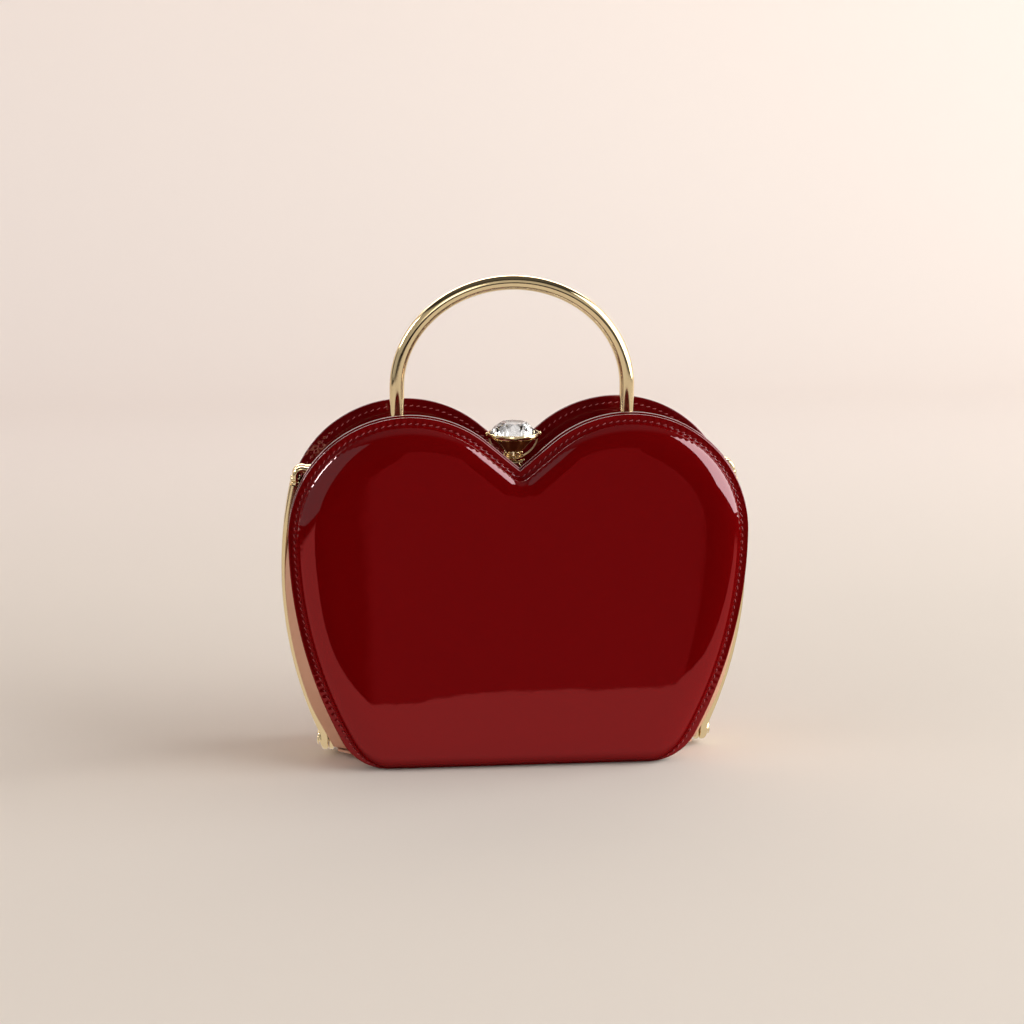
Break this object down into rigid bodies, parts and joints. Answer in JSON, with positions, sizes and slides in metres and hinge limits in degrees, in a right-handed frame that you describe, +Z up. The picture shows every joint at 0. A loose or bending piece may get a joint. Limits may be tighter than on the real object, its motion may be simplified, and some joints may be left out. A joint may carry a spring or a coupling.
{
  "type": "frame handbag",
  "caption": "Apple-shaped hard frame handbag with padded patent leather panels, a gold hoop handle and a jewelled push-button clasp between the lobes.",
  "frame": {"origin": "on the ground under the middle of the bag", "axes": "+Z up, the front panel faces -Y, +X to the right seen from the front"},
  "size_m": [0.2166, 0.07, 0.2229],
  "materials": {
    "patent_red": "high gloss patent",
    "tan_leather": "smooth, low sheen",
    "suede": "brushed",
    "foam": "matt",
    "fibreboard": "matt",
    "gold": "polished pale gold plating",
    "spring_steel": "plain",
    "crystal": "cut and polished"
  },
  "bodies": {
    "base": {"bottom_gusset": "tan_leather", "base_board": "fibreboard", "bellows_left": "tan_leather", "bellows_right": "tan_leather"},
    "front_half": {"front_cover": "patent_red", "front_foam_pad": "foam", "front_board": "fibreboard", "front_facing": "patent_red", "front_lining": "suede", "front_top_wall": "patent_red", "front_top_bar": "gold", "front_gusset_left": "tan_leather", "front_gusset_right": "tan_leather", "front_arm_left": "gold", "front_arm_right": "gold", "front_corner_bead_left": "gold", "front_corner_bead_right": "gold", "front_catch": "gold"},
    "back_half": {"back_cover": "patent_red", "back_foam_pad": "foam", "back_board": "fibreboard", "back_facing": "patent_red", "back_lining": "suede", "back_top_wall": "patent_red", "back_top_bar": "gold", "back_gusset_left": "tan_leather", "back_gusset_right": "tan_leather", "back_arm_left": "gold", "back_arm_right": "gold", "back_corner_bead_left": "gold", "back_corner_bead_right": "gold", "hinge_rivet_left": "gold", "hinge_rivet_right": "gold", "handle_lug_left": "gold", "handle_lug_right": "gold", "handle_pin_left": "gold", "handle_pin_right": "gold", "clasp_seat": "gold", "clasp_barrel": "gold", "clasp_cap": "gold", "clasp_spring": "spring_steel"},
    "handle": {"handle_hoop": "gold"},
    "button": {"button_stem": "gold", "button_gallery": "gold", "basket_wire_left": "gold", "basket_wire_right": "gold", "button_bezel": "gold", "button_stone": "crystal"}
  },
  "joints": [
    {"name": "front_open", "type": "hinge", "parent": "base", "child": "front_half", "pos_m": [0, -0.028, 0.00994], "axis": [1, 0, 0], "range_deg": [0, 14], "deforming": ["bottom_gusset", "bellows_left", "bellows_right"]},
    {"name": "back_open", "type": "hinge", "parent": "base", "child": "back_half", "pos_m": [0, 0.028, 0.00994], "axis": [1, 0, 0], "range_deg": [-14, 0], "deforming": ["bottom_gusset", "bellows_left", "bellows_right"]},
    {"name": "handle_swing", "type": "hinge", "parent": "back_half", "child": "handle", "pos_m": [0, 0.012, 0.15305], "axis": [1, 0, 0], "range_deg": [-28, 62]},
    {"name": "button_press", "type": "slide", "parent": "back_half", "child": "button", "axis": [0, 0, -1], "range_m": [0, 0.002], "stiffness_N_per_m": 800, "springref_m": -0.001, "deforming": ["clasp_spring"]}
  ],
  "couplings": [
    {"joint": "back_open", "follows": "front_open", "ratio": -1}
  ]
}
